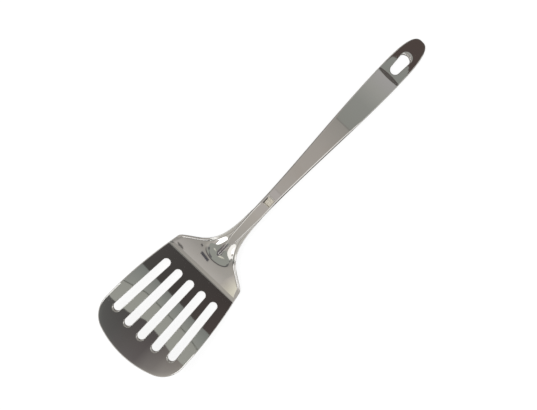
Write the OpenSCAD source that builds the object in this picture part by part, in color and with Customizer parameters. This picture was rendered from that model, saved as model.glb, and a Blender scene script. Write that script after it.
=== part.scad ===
// Slotted kitchen turner in stainless steel sheet, lying face up as on a table.
// The blade is one stamping with a tang. The hollow handle is a front shell closed by a back plate.
// Shapes are worked out with the blade flat at Z = 0, the heel crease on X = 0 and the handle towards +X.
// lay_down() then turns the whole turner so that it rests on its heel and on the back of its handle.

/* [Blade] */
// Length of the blade from the leading edge to the heel crease
blade_len = 95; // [85:1:115]
// Width of the blade at its widest, behind the front corners
blade_w = 87; // [80:1:96]
// Width of the blade at the heel crease
heel_w = 73.5; // [62:0.5:76]
// Thickness of the blade sheet
sheet_t = 1.8; // [1.2:0.1:2.2]
// Radius of the bowed leading edge
lead_r = 84; // [82:1:150]
// Radius of the two front corners
corner_r = 22; // [14:1:28]

/* [Drain slots] */
// Number of slots across the blade
slot_count = 5; // [3:2:5]
// Width of each slot
slot_w = 7.2; // [6:0.1:8]
// Distance between slot centres at the leading end
slot_pitch_tip = 15.4; // [13:0.1:16]
// Distance between slot centres at the heel end
slot_pitch_heel = 13.3; // [11:0.1:14]
// Flat land between the leading edge and the opening of the middle slot
tip_land = 20.8; // [17:0.1:26]
// Length of the sloping rim at the leading end of each slot
slot_lead = 2.6; // [1:0.1:2.8]
// Flat land between the slots and the heel crease
heel_land = 11; // [8:0.5:20]
// Radius of the arc that the leading ends of the slots follow
slot_bow_r = 116; // [90:1:200]

/* [Shoulder and neck] */
// Upward slope of the shoulder from the blade
shoulder_angle = 22; // [16:0.5:26]
// Distance from the crease to the front of the pressed scoop
scoop_x = 12.9; // [11:0.1:16]
// Slope of the floor of the scoop at its front
scoop_angle = 12; // [8:0.5:14]
// Height of the scoop's rims over its floor, at its front
scoop_rim = 3.6; // [2:0.1:4.5]
// Distance from the crease to the start of the flare
flare_x = 12; // [9:0.5:16]
// Length over which the flare fades to the neck
flare_len = 11.3; // [8:0.1:13]
// Softness of the shoulder corners
shoulder_soft = 12; // [6:1:16]
// Distance that the shoulder edges are rolled down
edge_roll = 0.8; // [0.4:0.1:1.2]
// Width of the rolled edge
edge_roll_w = 3; // [2:0.1:4]
// Distance from the crease to the end of the neck, where the tang enters the handle
neck_end = 66; // [62:1:72]
// Height of the handle's back over the blade's underside, at the end of the neck
neck_rise = 16.2; // [14:0.1:18]
// Length of the tang inside the handle
tang_len = 26; // [20:1:60]

/* [Handle] */
// Distance from the crease to the end of the handle
handle_len = 252.7; // [235:0.1:290]
// Width of the handle at the neck
neck_w = 10.2; // [9.2:0.1:12]
// Width of the handle at its widest
handle_w = 21.1; // [18:0.1:24]
// Length of the rounded end of the handle
end_len = 35.7; // [32:0.1:38]
// Bluntness of the rounded end, 2 for an ellipse
end_power = 2.85; // [2:0.05:4]
// Thickness of the closed handle
handle_t = 4.6; // [4.4:0.1:6]
// Thickness of the handle's sheet
wall = 0.8; // [0.6:0.1:0.9]
// Radius of the handle's long edges
edge_r = 1.1; // [0.5:0.1:1.4]
// Slope of the handle from the blade at the neck
slope_neck = 9.5; // [8:0.1:11]
// Slope of the handle from the blade at its end
slope_end = 11.5; // [10:0.1:13]

/* [Nose of the front shell] */
// Distance from the crease to the tip of the nose
nose_x = 20.5; // [18:0.5:24]
// Length of the narrow beak of the nose
beak_len = 6; // [4:0.5:8]
// Width of the beak
beak_w = 1.4; // [1:0.1:2.4]
// Length over which the beak opens to the nose
nose_open = 14; // [10:0.5:18]
// Width of the nose where it has opened
nose_w = 7.8; // [7:0.1:8.6]

/* [Hang tab] */
// Distance from the end of the handle to the edge of the raised face
tab_len = 38.7; // [37:0.1:44]
// Drop from the raised face to the tab
tab_drop = 1.4; // [0.8:0.1:1.6]
// Length of the step down to the tab
step_len = 3.4; // [2:0.1:3.6]
// Depth of the shallow dish across the tab
tab_dish = 0.5; // [0.2:0.1:0.6]
// Width of the hang hole at its end nearer the blade
hole_w_near = 8.5; // [6:0.1:9]
// Width of the hang hole at its end nearer the handle's end
hole_w_far = 9.9; // [8:0.1:10.5]
// Length of the hang hole
hole_len = 20.2; // [16:0.1:21]
// Steel between the hang hole and the handle's end
hole_land = 13.4; // [12:0.1:15]

/* [Crimp] */
// Distance from the end of the neck to the crimp that grips the tang
crimp_x = 10.5; // [6:0.5:12]
// Length of the crimp
crimp_len = 6.9; // [4:0.1:8]
// Width of the crimp
crimp_w = 6.2; // [4:0.1:6.2]

/* [Fits] */
// Clearance between sheets that lie on each other
seat = 0.1; // [0.05:0.05:0.2]
// Clearance beside the tang and the back plate
side_gap = 0.15; // [0.1:0.05:0.3]

/* [Hidden] */
$fn = 48;
over = 5; // how far cuts run past a face
scoop_soft = 0.5; // softness of the edge between shoulder and scoop
beak_share = 0.2; // height of the beak's front, as a share of the nose
throat_run = 4; // nose stations stay close until this far behind the opened nose
end_sweep = 87; // degrees of the rounded end that its stations cover, which leaves it a blunt tip
slight = 0.01; // keeps divisions and tests off zero
slot_edge = 0.1; // upright wall left below the sloping rim of a slot
steel = [0.70, 0.69, 0.67];
steel_back = [0.62, 0.61, 0.60];

// ---- shared functions ----

// Soft step from 0 at a to 1 at b
function ease(x, a, b) = let (u = min(max((x - a) / (b - a), 0), 1)) u * u * (3 - 2 * u);

// The smaller of two values, rounded off where they meet
function soft_min(a, b, k) = min(a, b) - pow(max(k - abs(a - b), 0), 2) / (4 * k);

// Height on a smooth curve between two points with given slopes, straight on before the first
function blend_z(x, x0, z0, m0, x1, z1, m1) =
    let (run = x1 - x0, u = (x - x0) / run)
    x < x0 ? z0 + m0 * (x - x0) :
    (1 + 2 * u) * pow(1 - u, 2) * z0 + u * pow(1 - u, 2) * run * m0
    + u * u * (3 - 2 * u) * z1 + u * u * (u - 1) * run * m1;

function flat_list(lists) = [for (item = lists) each item];

// Solid between rings of points that lie in planes across X, first ring at the lowest X.
// A ring that runs out over one face and back over the other is closed by a strip at each end.
module loft(rings, strip = false) {
    n = len(rings[0]);
    last = (len(rings) - 1) * n;
    quads = [for (i = [0 : len(rings) - 2], j = [0 : n - 1])
        let (a = i * n + j, b = i * n + (j + 1) % n) [[a, b, b + n], [a, b + n, a + n]]];
    ends = strip
        ? [for (j = [0 : n / 2 - 2]) each
            [[n - 1 - j, n - 2 - j, j + 1, j], [last + j, last + j + 1, last + n - 2 - j, last + n - 1 - j]]]
        : [[for (j = [n - 1 : -1 : 0]) j], [for (j = [0 : n - 1]) last + j]];
    polyhedron(flat_list(rings), concat(flat_list(quads), ends), convexity = 6);
}

// ---- side profile ----

// Underside of the closed handle
slope_change = (tan(slope_end) - tan(slope_neck)) / (handle_len - neck_end);
function handle_z(x) =
    let (d = x - neck_end) neck_rise + tan(slope_neck) * d + slope_change * d * d / 2;

// Underside of the blade sheet along the middle: scoop floor, then tang
tang_lift = wall + seat;
function floor_z(x) =
    x < neck_end
        ? blend_z(x, scoop_x, scoop_x * tan(shoulder_angle), tan(scoop_angle),
            neck_end, handle_z(neck_end) + tang_lift, tan(slope_neck))
        : handle_z(x) + tang_lift;

// Underside of the blade sheet at any place behind the crease
function sheet_z(x, y) =
    let (along = min(max((x - scoop_x) / (neck_end - scoop_x), 0), 1),
        half = blade_half(x),
        rim = scoop_rim * pow(1 - along, 1.2) * pow(y / half, 2),
        roll = edge_roll * ease(abs(y), half - min(edge_roll_w, half / 2), half)
            * ease(x, 0, scoop_x) * (1 - ease(x, flare_x + 2 * flare_len, neck_end)))
    soft_min(x * tan(shoulder_angle), floor_z(x) + rim, scoop_soft) - roll;

// ---- plan outlines, as half widths at a distance x from the crease ----

corner_y = blade_w / 2 - corner_r;
corner_x = -blade_len + lead_r - sqrt(pow(lead_r - corner_r, 2) - corner_y * corner_y);

function side_half(x) = blade_w / 2 - (blade_w - heel_w) / 2 * pow((x - corner_x) / corner_x, 2);

function flare_half(x) = neck_w / 2 + (heel_w - neck_w) / 2 * exp(-(x - flare_x) / flare_len);

// The corner between side and flare is rounded; behind the shoulder the flare runs alone
shoulder_end = 3 * scoop_x;
function blade_half(x) =
    soft_min(side_half(x), flare_half(x), slight + shoulder_soft * (1 - ease(x, scoop_x, shoulder_end)));

widest_x = handle_len - end_len;
function body_half(x) = neck_w / 2 + (handle_w - neck_w) / 2 * ease(x, neck_end, widest_x);

nose_open_x = nose_x + beak_len + nose_open;
function nose_half(x) =
    x < nose_open_x
        ? beak_w / 2 + (nose_w - beak_w) / 2 * ease(x, nose_x + beak_len, nose_open_x)
        : nose_w / 2 + (neck_w - nose_w) / 2 * (x - nose_open_x) / (neck_end - nose_open_x);

// Stations [x, half width] of the rounded end, drawn in by inset
end_steps = 12;
function end_stations(inset) = [for (i = [1 : end_steps])
    let (a = end_sweep * i / end_steps)
    [widest_x + (end_len - inset) * pow(sin(a), 2 / end_power),
        (handle_w / 2 - inset) * pow(cos(a), 2 / end_power)]];

// ---- blade ----

function arc_points(x, y, r, a0, a1, steps) = [for (i = [0 : steps])
    let (a = a0 + (a1 - a0) * i / steps) [x + r * cos(a), y + r * sin(a)]];

// One side of the blade's outline from the crease round to the middle of the leading edge
corner_angle = 180 - asin(corner_y / (lead_r - corner_r));
side_points = [for (i = [0 : 8]) let (x = corner_x * i / 8) [x, side_half(x)]];
half_outline = concat(
    side_points,
    [for (p = arc_points(corner_x, corner_y, corner_r, 90, corner_angle, 10)) if (p[0] < corner_x) p],
    [for (p = arc_points(-blade_len + lead_r, 0, lead_r, corner_angle, 180, 8))
        if (p[0] < -blade_len + lead_r + lead_r * cos(corner_angle) - slight) p]);

function mirrored(points) = concat(points,
    [for (i = [len(points) - 1 : -1 : 0]) if (points[i][1] > slight) [points[i][0], -points[i][1]]]);

module blade_flat() {
    linear_extrude(sheet_t) polygon(mirrored(half_outline));
}

// One slot with round ends, from heel to tip, with a sloping rim cut by a cone at its leading end
module slot(y_heel, y_tip) {
    x_heel = -heel_land - slot_w / 2;
    x_tip = -blade_len + tip_land + slot_w / 2 + slot_bow_r - sqrt(slot_bow_r * slot_bow_r - y_tip * y_tip);
    run = sqrt(pow(x_heel - x_tip, 2) + pow(y_heel - y_tip, 2));
    rim_r = slot_w / 2 - slot_lead - slot_edge;
    translate([x_heel, y_heel, -over])
        rotate([0, 0, atan2(y_tip - y_heel, x_tip - x_heel)]) {
            cylinder(d = slot_w, h = sheet_t + 2 * over);
            translate([run, 0, 0]) cylinder(d = slot_w, h = sheet_t + 2 * over);
            translate([0, -slot_w / 2, 0]) cube([run, slot_w, sheet_t + 2 * over]);
            translate([run + slot_lead, 0, over])
                cylinder(r1 = rim_r, r2 = rim_r + 2 * slot_lead, h = 2 * sheet_t);
        }
}

// Ring across the blade sheet: upper face, then lower face
spread = [-1, -0.96, -0.91, -0.84, -0.7, -0.52, -0.34, -0.16];
across = concat(spread, [0], [for (i = [len(spread) - 1 : -1 : 0]) -spread[i]]);
function sheet_ring(x, half) = concat(
    [for (s = across) [x, s * half, sheet_z(x, s * half) + sheet_t]],
    [for (i = [len(across) - 1 : -1 : 0]) [x, across[i] * half, sheet_z(x, across[i] * half)]]);

// Stations [x, half width] along the shoulder, closer together where the outline turns, neck and tang
shoulder_steps = 18;
neck_steps = 8;
neck_stop = neck_end - 2 * side_gap;
tang_half = neck_w / 2 - wall - side_gap;
formed_stations = concat(
    [for (i = [0 : shoulder_steps]) let (x = shoulder_end * i / shoulder_steps) [x, blade_half(x)]],
    [for (i = [1 : neck_steps])
        let (x = shoulder_end + (neck_stop - shoulder_end) * i / neck_steps) [x, blade_half(x)]],
    [for (i = [0 : 3])
        let (x = neck_stop + side_gap / 2 + (tang_len - side_gap) * i / 3) [x, tang_half]]);

module blade() {
    color(steel) lay_down() difference() {
        union() {
            blade_flat();
            loft([for (s = formed_stations) sheet_ring(s[0], s[1])], strip = true);
        }
        for (i = [0 : slot_count - 1])
            slot((i - (slot_count - 1) / 2) * slot_pitch_heel, (i - (slot_count - 1) / 2) * slot_pitch_tip);
    }
}

// ---- handle shells ----

// Upper face of the front shell over the handle's underside
pad_end = handle_len - tab_len;
function top_z(x, y, half) =
    let (down = ease(x, pad_end, pad_end + step_len))
    x < neck_end
        ? floor_z(x) + sheet_t + seat
            + nose_h * (beak_share + (1 - beak_share) * ease(x, nose_x, nose_x + beak_len + nose_open / 2))
        : handle_z(x) + handle_t - tab_drop * down - tab_dish * down * (1 - pow(y / half, 2));
nose_h = handle_t - tang_lift - sheet_t - seat;

// Lower edge of the front shell: on the neck, then down to the handle's back
function low_z(x, half) =
    x < neck_end ? sheet_z(x, half) + sheet_t + seat : handle_z(x);

// Ring round the front shell, drawn in by inset; its foot lies below by drop
corner_steps = 3;
face_points = [-1, -0.66, -0.33, 0, 0.33, 0.66, 1];
function shell_ring(x, half, inset, drop) =
    let (w = half - inset,
        side_top = top_z(x, half, half) - inset,
        foot = low_z(x, half) - drop,
        r = min(max(edge_r - inset, 0.2), 0.8 * w, 0.8 * (side_top - foot)))
    concat(
        [[x, -w, foot], [x, -w, side_top - r]],
        [for (i = [1 : corner_steps - 1])
            let (a = 90 * i / corner_steps)
            [x, -w + r - r * cos(a), side_top - r + r * sin(a)]],
        [for (s = face_points) [x, s * (w - r), top_z(x, s * (w - r), half) - inset]],
        [for (i = [corner_steps - 1 : -1 : 1])
            let (a = 90 * i / corner_steps)
            [x, w - r + r * cos(a), side_top - r + r * sin(a)]],
        [[x, w, side_top - r], [x, w, foot]]);

// Stations [x, half width] along the handle
throat_x = nose_open_x + throat_run;
nose_stations = [for (i = [0 : 12]) let (x = nose_x + (throat_x - nose_x) * i / 12) [x, nose_half(x)]];
throat_stations = [for (i = [1 : 3])
    let (x = throat_x + (neck_end - seat - throat_x) * i / 3) [x, nose_half(x)]];
body_stations = [for (i = [0 : 14]) let (x = neck_end + (pad_end - neck_end) * i / 14) [x, body_half(x)]];
step_stations = [for (i = [1 : 4]) let (x = pad_end + step_len * i / 4) if (x < widest_x) [x, body_half(x)]];

function with_inset(stations, inset, drop) =
    [for (s = stations) shell_ring(s[0], s[1], inset, drop)];

module outer_form() {
    loft(concat(
        with_inset(concat(nose_stations, throat_stations, body_stations, step_stations), 0, 0),
        [for (s = end_stations(0)) if (s[0] > pad_end + step_len) shell_ring(s[0], s[1], 0, 0)]));
}

// The hollow starts where the nose has opened
module hollow_form() {
    loft(concat(
        [for (s = concat(nose_stations, throat_stations)) if (s[0] > nose_open_x) shell_ring(s[0], s[1], wall, over)],
        with_inset(concat(body_stations, step_stations), wall, over),
        [for (s = end_stations(wall)) if (s[0] > pad_end + step_len) shell_ring(s[0], s[1] + wall, wall, over)]));
}

// Place on the tab: X at the middle of the hang hole, upright to the tab
hole_far_x = handle_len - hole_land - hole_w_far / 2;
hole_near_x = handle_len - hole_land - hole_len + hole_w_near / 2;
tab_slope = atan((handle_z(hole_far_x) - handle_z(hole_near_x)) / (hole_far_x - hole_near_x));
module on_tab() {
    translate([hole_near_x, 0, handle_z(hole_near_x)]) rotate([0, -tab_slope, 0]) children();
}

// Tapered hole with round ends, made larger by grow, from z0 up to z1
module hang_hole(grow, z0, z1) {
    r1 = hole_w_near / 2 + grow;
    r2 = hole_w_far / 2 + grow;
    run = (hole_far_x - hole_near_x) / cos(tab_slope);
    lean = asin((r2 - r1) / run);
    on_tab() translate([0, 0, z0]) linear_extrude(z1 - z0) {
        circle(r1);
        translate([run, 0]) circle(r2);
        polygon([[-r1 * sin(lean), r1 * cos(lean)], [run - r2 * sin(lean), r2 * cos(lean)],
            [run - r2 * sin(lean), -r2 * cos(lean)], [-r1 * sin(lean), -r1 * cos(lean)]]);
    }
}

// Place of the crimp, upright to the handle's face
crimp_mid = neck_end + crimp_x + crimp_len / 2;
crimp_slope = atan(tan(slope_neck) + slope_change * (crimp_mid - neck_end));
module at_crimp(length, width, z0, z1) {
    translate([crimp_mid, 0, handle_z(crimp_mid)]) rotate([0, -crimp_slope, 0])
        translate([-length / 2, -width / 2, z0]) cube([length, width, z1 - z0]);
}
crimp_floor = tang_lift + sheet_t + seat + wall;

module handle_front() {
    color(steel) lay_down() difference() {
        union() {
            difference() {
                outer_form();
                hollow_form();
            }
            hang_hole(wall, wall + seat, handle_t - tab_drop - tab_dish - wall / 2);
            at_crimp(crimp_len + 2 * wall, crimp_w + 2 * wall, crimp_floor - wall, handle_t - wall / 2);
        }
        hang_hole(0, -over, handle_t + over);
        at_crimp(crimp_len, crimp_w, crimp_floor, handle_t + over);
    }
}

// Back plate inside the skirt of the front shell, flush with its lower edge
plate_inset = wall + side_gap;
function plate_ring(x, w) =
    [[x, -w, handle_z(x) + wall], [x, w, handle_z(x) + wall], [x, w, handle_z(x)], [x, -w, handle_z(x)]];

module handle_back() {
    color(steel_back) lay_down() difference() {
        loft(concat(
            [for (s = concat(body_stations, step_stations))
                plate_ring(max(s[0], neck_end + side_gap), s[1] - plate_inset)],
            [for (s = end_stations(plate_inset)) if (s[0] > pad_end + step_len) plate_ring(s[0], s[1])]));
        hang_hole(0, -over, handle_t + over);
    }
}

// ---- resting place ----

// The turner leans until the back of its handle meets the table
contact_stations = concat(body_stations, step_stations, end_stations(0));
lie_angle = min([for (s = contact_stations) if (s[0] > neck_end) atan2(handle_z(s[0]), s[0])]);
end_x = end_stations(0)[end_steps - 1][0];
end_half = end_stations(0)[end_steps - 1][1];
reach_back = end_x * cos(lie_angle) + top_z(end_x, end_half, end_half) * sin(lie_angle);
reach_front = -blade_len * cos(lie_angle);

module lay_down() {
    translate([-(reach_back + reach_front) / 2, 0, 0]) rotate([0, lie_angle, 0]) children();
}

blade();
handle_front();
handle_back();
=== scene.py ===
import math

import bmesh
import bpy
import numpy as np
from mathutils import Matrix, Vector
from mathutils.geometry import delaunay_2d_cdt


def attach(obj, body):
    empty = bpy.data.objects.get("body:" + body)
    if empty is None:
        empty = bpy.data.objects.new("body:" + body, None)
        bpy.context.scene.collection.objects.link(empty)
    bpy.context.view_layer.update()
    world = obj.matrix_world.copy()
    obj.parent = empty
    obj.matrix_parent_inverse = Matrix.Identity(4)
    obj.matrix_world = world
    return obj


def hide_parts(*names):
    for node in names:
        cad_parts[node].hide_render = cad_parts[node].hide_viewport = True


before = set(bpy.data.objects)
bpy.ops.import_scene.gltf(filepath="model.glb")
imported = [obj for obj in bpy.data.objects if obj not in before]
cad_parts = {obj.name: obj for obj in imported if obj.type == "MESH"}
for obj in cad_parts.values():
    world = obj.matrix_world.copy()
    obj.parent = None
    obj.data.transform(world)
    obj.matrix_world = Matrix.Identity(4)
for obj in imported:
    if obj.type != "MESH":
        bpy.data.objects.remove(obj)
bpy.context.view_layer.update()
print("frame loaded:", ", ".join(sorted(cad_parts)))

# All sizes are in millimetres. They are worked out with the blade flat, its heel crease on X = 0
# and the handle towards +X; layDown() then leans the turner onto its heel and its handle's end.
mm = 0.001


def ease(x, a, b):  # soft step from 0 at a to 1 at b
    u = np.clip((x - a) / (b - a), 0, 1)
    return u * u * (3 - 2 * u)


def softMin(a, b, k):  # the smaller one, rounded off where they meet
    return np.minimum(a, b) - np.maximum(k - np.abs(a - b), 0) ** 2 / (4 * k)


def tanDeg(angle):
    return math.tan(math.radians(angle))


# Side profile of the whole turner
profile = {
    "neckEnd": 66,        # crease to the end of the neck
    "neckRise": 16.2,     # back of the handle over the blade's underside there
    "slopeNeck": 9.5,     # degrees
    "slopeEnd": 11.5,
    "handleLength": 252.7,
    "wall": 0.8,          # handle sheet
    "seat": 0.1,          # clearance between sheets
    "lieAngle": 11.3663,  # lean onto the table
    "lieShift": -82.6085,
}


def handleZ(x):  # underside of the closed handle
    p = profile
    run = p["handleLength"] - p["neckEnd"]
    bow = (tanDeg(p["slopeEnd"]) - tanDeg(p["slopeNeck"])) / run
    d = x - p["neckEnd"]
    return p["neckRise"] + tanDeg(p["slopeNeck"]) * d + bow * d * d / 2


def layDown(points):
    angle = math.radians(profile["lieAngle"])
    x, y, z = np.asarray(points, float).T
    laid = np.stack([x * math.cos(angle) + z * math.sin(angle) + profile["lieShift"], y,
                     -x * math.sin(angle) + z * math.cos(angle)], axis=1)
    return laid * mm


def placeObject(name, data):
    made = bpy.data.objects.new(name, data)
    bpy.context.scene.collection.objects.link(made)
    return made


def raised(spots, z):  # plan points at the given heights
    return np.column_stack([spots, np.broadcast_to(z, len(spots))])


def mirrored(side):  # a half outline with its mirror image
    return np.array(side + [(x, -y) for x, y in side[-2::-1]])


def spaced(start, *runs):  # even steps from the start through each run, an end and a count
    places = [float(start)]
    for end, count in runs:
        places += list(np.linspace(places[-1], end, count)[1:])
    return np.array(places)


class Skin:
    # Collects points and faces in millimetres and makes one mesh object of them

    def __init__(self):
        self.points = []
        self.faces = []

    def add(self, points):
        first = len(self.points)
        self.points.extend(tuple(p) for p in points)
        return list(range(first, len(self.points)))

    def strip(self, a, b, closed=False):  # quads between two rows of point numbers
        n = len(a)
        for i in range(n if closed else n - 1):
            j = (i + 1) % n
            self.faces.append((a[i], a[j], b[j], b[i]))

    def strips(self, rows, closed=False):
        for a, b in zip(rows, rows[1:]):
            self.strip(a, b, closed)

    def fill(self, spots, z, triangles, flip=False):
        numbers = self.add(raised(spots, z))
        self.faces.extend(tuple(numbers[i] for i in (t[::-1] if flip else t)) for t in triangles)

    def make(self, name, weld=1e-3):
        mesh = bpy.data.meshes.new(name)
        mesh.from_pydata([tuple(p) for p in layDown(self.points)], [], self.faces)
        bm = bmesh.new()
        bm.from_mesh(mesh)
        bmesh.ops.remove_doubles(bm, verts=bm.verts, dist=weld * mm)
        bmesh.ops.dissolve_degenerate(bm, edges=bm.edges, dist=weld * mm / 10)
        bmesh.ops.recalc_face_normals(bm, faces=bm.faces)
        for face in bm.faces:
            face.smooth = True
        bm.to_mesh(mesh)
        bm.free()
        return placeObject(name, mesh)


def insideLoop(points, loop):
    # For each plan point, whether it lies inside a closed line
    x, y = np.asarray(points, float)[:, :, None].transpose(1, 0, 2)
    x0, y0 = np.asarray(loop, float).T
    x1, y1 = np.roll(x0, -1), np.roll(y0, -1)
    rise = np.where(y1 == y0, 1, y1 - y0)
    crossed = ((y0 > y) != (y1 > y)) & (x < (x1 - x0) * (y - y0) / rise + x0)
    return crossed.sum(axis=1) % 2 == 1


def fillPlan(border, holes, inner=()):
    # Triangles in plan between a border and its holes, through any inner points
    loops = [np.asarray(border)] + [np.asarray(h) for h in holes]
    flat = [tuple(p) for loop in loops for p in loop] + [tuple(p) for p in inner]
    edges = []
    start = 0
    for loop in loops:
        edges += [(start + i, start + (i + 1) % len(loop)) for i in range(len(loop))]
        start += len(loop)
    spots, _, triangles, _, _, _ = delaunay_2d_cdt([Vector(p) for p in flat], edges, [], 0, 1e-5)
    spots = np.array([tuple(p) for p in spots])
    triangles = np.array([list(tri) for tri in triangles])
    middles = spots[triangles].mean(axis=1)
    keep = insideLoop(middles, loops[0])
    for hole in loops[1:]:
        keep &= ~insideLoop(middles, hole)
    return spots, [tuple(int(i) for i in tri) for tri in triangles[keep]]


def inwardNormals(points, closed):
    # Unit vectors to the left of the way along a line of plan points
    p = np.asarray(points)
    if closed:
        along = np.roll(p, -1, axis=0) - np.roll(p, 1, axis=0)
    else:
        along = np.gradient(p, axis=0)
    along /= np.linalg.norm(along, axis=1)[:, None]
    return np.stack([-along[:, 1], along[:, 0]], axis=1)


bladeSizes = {
    "length": 95, "width": 87, "heelWidth": 73.5, "sheet": 1.8,
    "leadRadius": 84, "cornerRadius": 22,
    "shoulderAngle": 22,
    "bendUnder": 1.5,                          # half length of the soft bend under the heel
    "bendFirst": -0.85, "bendShare": 0.73,     # on top it bends in two steps; the first has this share
    "bendSoft": (0.5, 0.4),
    "scoopX": 12.9, "scoopAngle": 12, "scoopRim": 3.6, "scoopFade": 1.2, "scoopEdge": 0.16,
    "flareX": 12, "flareLength": 11.3, "shoulderSoft": 12,
    "edgeRoll": 0.8, "edgeRollWidth": 3,
    "neckWidth": 10.2, "tangLength": 26, "sideGap": 0.15,
    "topRound": 0.6, "underRound": 0.4,        # rounding of the sheet's edges
    "landings": (0.9, 1.4, 2.1, 3.1),          # rows on the flat inside the rounding
    "edgeStretch": 3.2, "edgeShare": 0.82,     # most the edge's rows widen by, and take of the width
    "formedRows": ((4, 54), (36, 150)),        # sections behind the crease, in runs to X with a count
    "neckRows": 30, "tangRows": 14, "columns": 111,
    "crownWidth": 4.2, "crownDrop": 0.08,      # faint fall-off behind the leading edge
    "crownSpan": (60, 84),                     # it sets in between these distances from the crease
}

slotSizes = {
    "Slot Count": 5, "Slot Width": 7.2, "Pitch At Heel": 13.3, "Pitch At Tip": 15.4,
    "Heel Centre X": -14.6, "Tip Centre X": -71.8, "Bow Radius": 116.0, "Points Round": 64,
}
slotRim = {
    "roll": 0.25,        # rounding of the upper edge all round
    "lead": 1.45,        # run of the sloping rim at the leading end
    "wall": 0.3,         # upright wall left under the slope
    "hollow": 0.7,       # share of the slope that curves in, the rest is straight
    "landing": 0.3, "underLanding": 0.8,
}


def blendZ(x, x0, z0, m0, x1, z1, m1):
    run = x1 - x0
    u = (x - x0) / run
    curve = ((1 + 2 * u) * (1 - u) ** 2 * z0 + u * (1 - u) ** 2 * run * m0
             + u * u * (3 - 2 * u) * z1 + u * u * (u - 1) * run * m1)
    return np.where(x < x0, z0 + m0 * (x - x0), curve)


def floorZ(x):  # underside of the sheet along the middle: scoop floor, then tang
    p, s = profile, bladeSizes
    lift = p["wall"] + p["seat"]
    scoop = blendZ(x, s["scoopX"], s["scoopX"] * tanDeg(s["shoulderAngle"]), tanDeg(s["scoopAngle"]),
                   p["neckEnd"], handleZ(p["neckEnd"]) + lift, tanDeg(p["slopeNeck"]))
    return np.where(x < p["neckEnd"], scoop, handleZ(x) + lift)


cornerY = bladeSizes["width"] / 2 - bladeSizes["cornerRadius"]
cornerX = (-bladeSizes["length"] + bladeSizes["leadRadius"]
           - math.sqrt((bladeSizes["leadRadius"] - bladeSizes["cornerRadius"]) ** 2 - cornerY ** 2))


def sideHalf(x):
    s = bladeSizes
    return s["width"] / 2 - (s["width"] - s["heelWidth"]) / 2 * ((x - cornerX) / cornerX) ** 2


def bladeHalf(x):  # half width of the sheet behind the crease
    s = bladeSizes
    widening = (s["heelWidth"] - s["neckWidth"]) / 2
    flare = s["neckWidth"] / 2 + widening * np.exp(-(x - s["flareX"]) / s["flareLength"])
    soft = 0.01 + s["shoulderSoft"] * (1 - ease(x, s["scoopX"], 3 * s["scoopX"]))
    return softMin(sideHalf(x), flare, soft)


def bendZ(x, share):  # rise behind the heel crease, whose first step has the given share
    s = bladeSizes
    rise = tanDeg(s["shoulderAngle"])
    if share == 0:
        return -softMin(-x * rise, 0 * x, s["bendUnder"] * rise)
    second = -s["bendFirst"] * share / (1 - share)
    bends = ((s["bendFirst"], share * rise), (second, (1 - share) * rise))
    return sum(-softMin((x0 - x) * slope, 0 * x, soft * slope)
               for (x0, slope), soft in zip(bends, s["bendSoft"]))


def sheetZ(x, y, bendShare=0.0):  # underside of the sheet at any place
    p, s = profile, bladeSizes
    half = bladeHalf(x)
    base = bendZ(x, bendShare)
    along = np.clip((x - s["scoopX"]) / (p["neckEnd"] - s["scoopX"]), 0, 1)
    rim = s["scoopRim"] * (1 - along) ** s["scoopFade"] * (y / half) ** 2
    roll = (s["edgeRoll"] * ease(np.abs(y), half - np.minimum(s["edgeRollWidth"], half / 2), half)
            * ease(x, 0, s["scoopX"]) * (1 - ease(x, s["flareX"] + 2 * s["flareLength"], p["neckEnd"])))
    return softMin(base, floorZ(x) + rim, s["scoopEdge"]) - roll


def rimSteps(radius, count, landings):
    # Offsets in from the edge and depths below the face, from the wall onto the face
    turn = np.radians(np.linspace(0, 90, count + 1))
    curve = [(radius * (1 - math.cos(a)), radius * (1 - math.sin(a))) for a in turn]
    return np.array(curve + [(inset, 0) for inset in landings])


def bladeOutline():
    # Half of the outline from the heel to the middle of the leading edge, then its mirror
    s = bladeSizes
    turn = math.asin(cornerY / (s["leadRadius"] - s["cornerRadius"]))
    startX = -s["bendUnder"] - 0.1
    side = [(x, float(sideHalf(x))) for x in np.linspace(startX, cornerX, 60)]
    corner = [(cornerX - s["cornerRadius"] * math.sin(a), cornerY + s["cornerRadius"] * math.cos(a))
              for a in np.linspace(0, math.pi / 2 - turn, 28)[1:]]
    leadX = -s["length"] + s["leadRadius"]
    lead = [(leadX - s["leadRadius"] * math.cos(a), s["leadRadius"] * math.sin(a))
            for a in np.linspace(turn, 0, 40)[1:]]
    return mirrored(side + corner + lead)


def crown(x, inset):
    # Fall of the face near the leading edge, none beside the slots
    s = bladeSizes
    near = np.clip(1 - inset / s["crownWidth"], 0, 1)
    return s["crownDrop"] * near ** 2 * ease(-x, *s["crownSpan"])


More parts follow.
